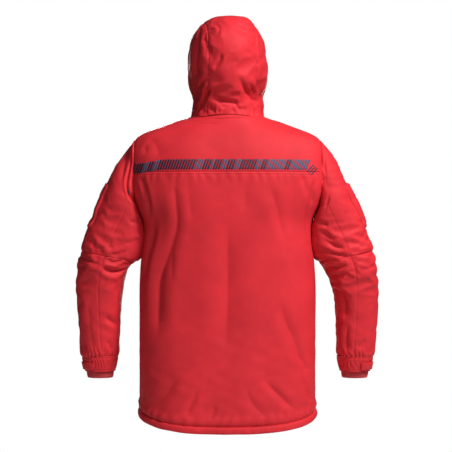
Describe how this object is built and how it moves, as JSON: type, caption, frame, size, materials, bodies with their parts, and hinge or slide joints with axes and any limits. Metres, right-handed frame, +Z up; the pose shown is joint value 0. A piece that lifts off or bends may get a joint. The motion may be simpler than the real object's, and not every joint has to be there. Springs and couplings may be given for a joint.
{
  "type": "foul weather jacket",
  "caption": "Insulated hooded foul weather jacket with a zipped front under a storm flap, patch pockets, cuff tabs and a reflective back tape.",
  "frame": {"origin": "centre of the neck opening, at the height where the shoulders meet the neck", "axes": "+X towards the wearer's left, -Y towards the front, +Z up"},
  "size_m": [0.756, 0.2777, 1.0224],
  "materials": {
    "shell": "plain-woven coated polyester, soft sheen",
    "binding": "folded woven edge",
    "tab": "stitched strap with hook-and-loop under it",
    "reflective_tape": "dark blue transfer stripes",
    "lining": "smooth dark taffeta, quilted in the body",
    "insulation": "bonded fibre wadding",
    "zip_tape": "woven zip tape",
    "zip_teeth": "moulded chain",
    "metal": "dark lacquered",
    "ribbing": "elastic rib knit",
    "label": "blank woven patch",
    "loop": "folded tape"
  },
  "bodies": {
    "torso": {"back_yoke": "shell", "back_panel": "shell", "front_panel_left": "shell", "front_panel_right": "shell", "back_reflective_tape": "reflective_tape", "collar_outer": "shell", "collar_lining": "lining", "hem_band": "shell", "body_insulation": "insulation", "body_lining": "lining", "zip_tapes": "zip_tape", "zip_teeth": "zip_teeth", "zip_stops": "zip_teeth", "snap_studs": "metal", "chest_pocket_left": "shell", "chest_pocket_right": "shell", "lower_pocket_left": "shell", "lower_pocket_right": "shell", "hanger_loop": "loop", "neck_label": "label"},
    "hood": {"hood_centre_panel": "shell", "hood_side_left": "shell", "hood_side_right": "shell", "hood_edge_binding": "binding", "hood_lining": "lining"},
    "storm_flap": {"storm_flap": "shell", "storm_flap_snaps": "metal"},
    "zip_slider": {"zip_slider": "metal"},
    "zip_pull": {"zip_pull": "metal"},
    "chest_flap_left": {"chest_flap_left": "shell"},
    "chest_flap_right": {"chest_flap_right": "shell"},
    "lower_flap_left": {"lower_flap_left": "shell"},
    "lower_flap_right": {"lower_flap_right": "shell"},
    "sleeve_left": {"upper_sleeve_left": "shell", "upper_sleeve_insulation_left": "insulation", "upper_sleeve_lining_left": "lining", "sleeve_pocket_left": "shell", "elbow_section_left": "shell"},
    "forearm_left": {"forearm_sleeve_left": "shell", "forearm_insulation_left": "insulation", "forearm_lining_left": "lining", "cuff_band_left": "shell", "inner_cuff_left": "ribbing"},
    "cuff_tab_left": {"cuff_tab_left": "tab"},
    "sleeve_right": {"upper_sleeve_right": "shell", "upper_sleeve_insulation_right": "insulation", "upper_sleeve_lining_right": "lining", "sleeve_pocket_right": "shell", "elbow_section_right": "shell"},
    "forearm_right": {"forearm_sleeve_right": "shell", "forearm_insulation_right": "insulation", "forearm_lining_right": "lining", "cuff_band_right": "shell", "inner_cuff_right": "ribbing"},
    "cuff_tab_right": {"cuff_tab_right": "tab"}
  },
  "joints": [
    {"name": "hood_tip_back", "type": "hinge", "parent": "torso", "child": "hood", "pos_m": [0, 0.084, 0.012], "axis": [-1, 0, 0], "range_deg": [0, 35]},
    {"name": "storm_flap_open", "type": "hinge", "parent": "torso", "child": "storm_flap", "pos_m": [0.035, -0.11568, 0.00067], "axis": [0, 0.0536, 0.9986], "range_deg": [0, 100]},
    {"name": "zip_slide", "type": "slide", "parent": "torso", "child": "zip_slider", "axis": [0, -0.0536, -0.9986], "range_m": [0, 0.7]},
    {"name": "zip_pull_flip", "type": "hinge", "parent": "zip_slider", "child": "zip_pull", "pos_m": [0, -0.10623, 0.04423], "axis": [-1, 0, 0], "range_deg": [0, 150]},
    {"name": "chest_flap_left_lift", "type": "hinge", "parent": "torso", "child": "chest_flap_left", "pos_m": [0.1125, -0.1208, -0.147], "axis": [-0.9879, -0.1548, 0], "range_deg": [0, 110]},
    {"name": "chest_flap_right_lift", "type": "hinge", "parent": "torso", "child": "chest_flap_right", "pos_m": [-0.1125, -0.1208, -0.147], "axis": [-0.9879, 0.1548, 0], "range_deg": [0, 110]},
    {"name": "lower_flap_left_lift", "type": "hinge", "parent": "torso", "child": "lower_flap_left", "pos_m": [0.1035, -0.13799, -0.477], "axis": [-0.9799, -0.1993, 0], "range_deg": [0, 110]},
    {"name": "lower_flap_right_lift", "type": "hinge", "parent": "torso", "child": "lower_flap_right", "pos_m": [-0.1035, -0.13799, -0.477], "axis": [-0.9799, 0.1993, 0], "range_deg": [0, 110]},
    {"name": "arm_raise_left", "type": "hinge", "parent": "torso", "child": "sleeve_left", "pos_m": [0.232, 0.005, -0.036], "axis": [0, -1, 0], "range_deg": [0, 60]},
    {"name": "elbow_bend_left", "type": "hinge", "parent": "sleeve_left", "child": "forearm_left", "pos_m": [0.305, -0.005, -0.345], "axis": [-1, 0, 0], "range_deg": [0, 75], "deforming": ["elbow_section_left"]},
    {"name": "cuff_tab_open_left", "type": "hinge", "parent": "forearm_left", "child": "cuff_tab_left", "pos_m": [0.3705, -0.0245, -0.61], "axis": [0, 0, -1], "range_deg": [0, 100]},
    {"name": "arm_raise_right", "type": "hinge", "parent": "torso", "child": "sleeve_right", "pos_m": [-0.232, 0.005, -0.036], "axis": [0, 1, 0], "range_deg": [0, 60]},
    {"name": "elbow_bend_right", "type": "hinge", "parent": "sleeve_right", "child": "forearm_right", "pos_m": [-0.305, -0.005, -0.345], "axis": [-1, 0, 0], "range_deg": [0, 75], "deforming": ["elbow_section_right"]},
    {"name": "cuff_tab_open_right", "type": "hinge", "parent": "forearm_right", "child": "cuff_tab_right", "pos_m": [-0.3705, -0.0245, -0.61], "axis": [0, 0, 1], "range_deg": [0, 100]}
  ]
}
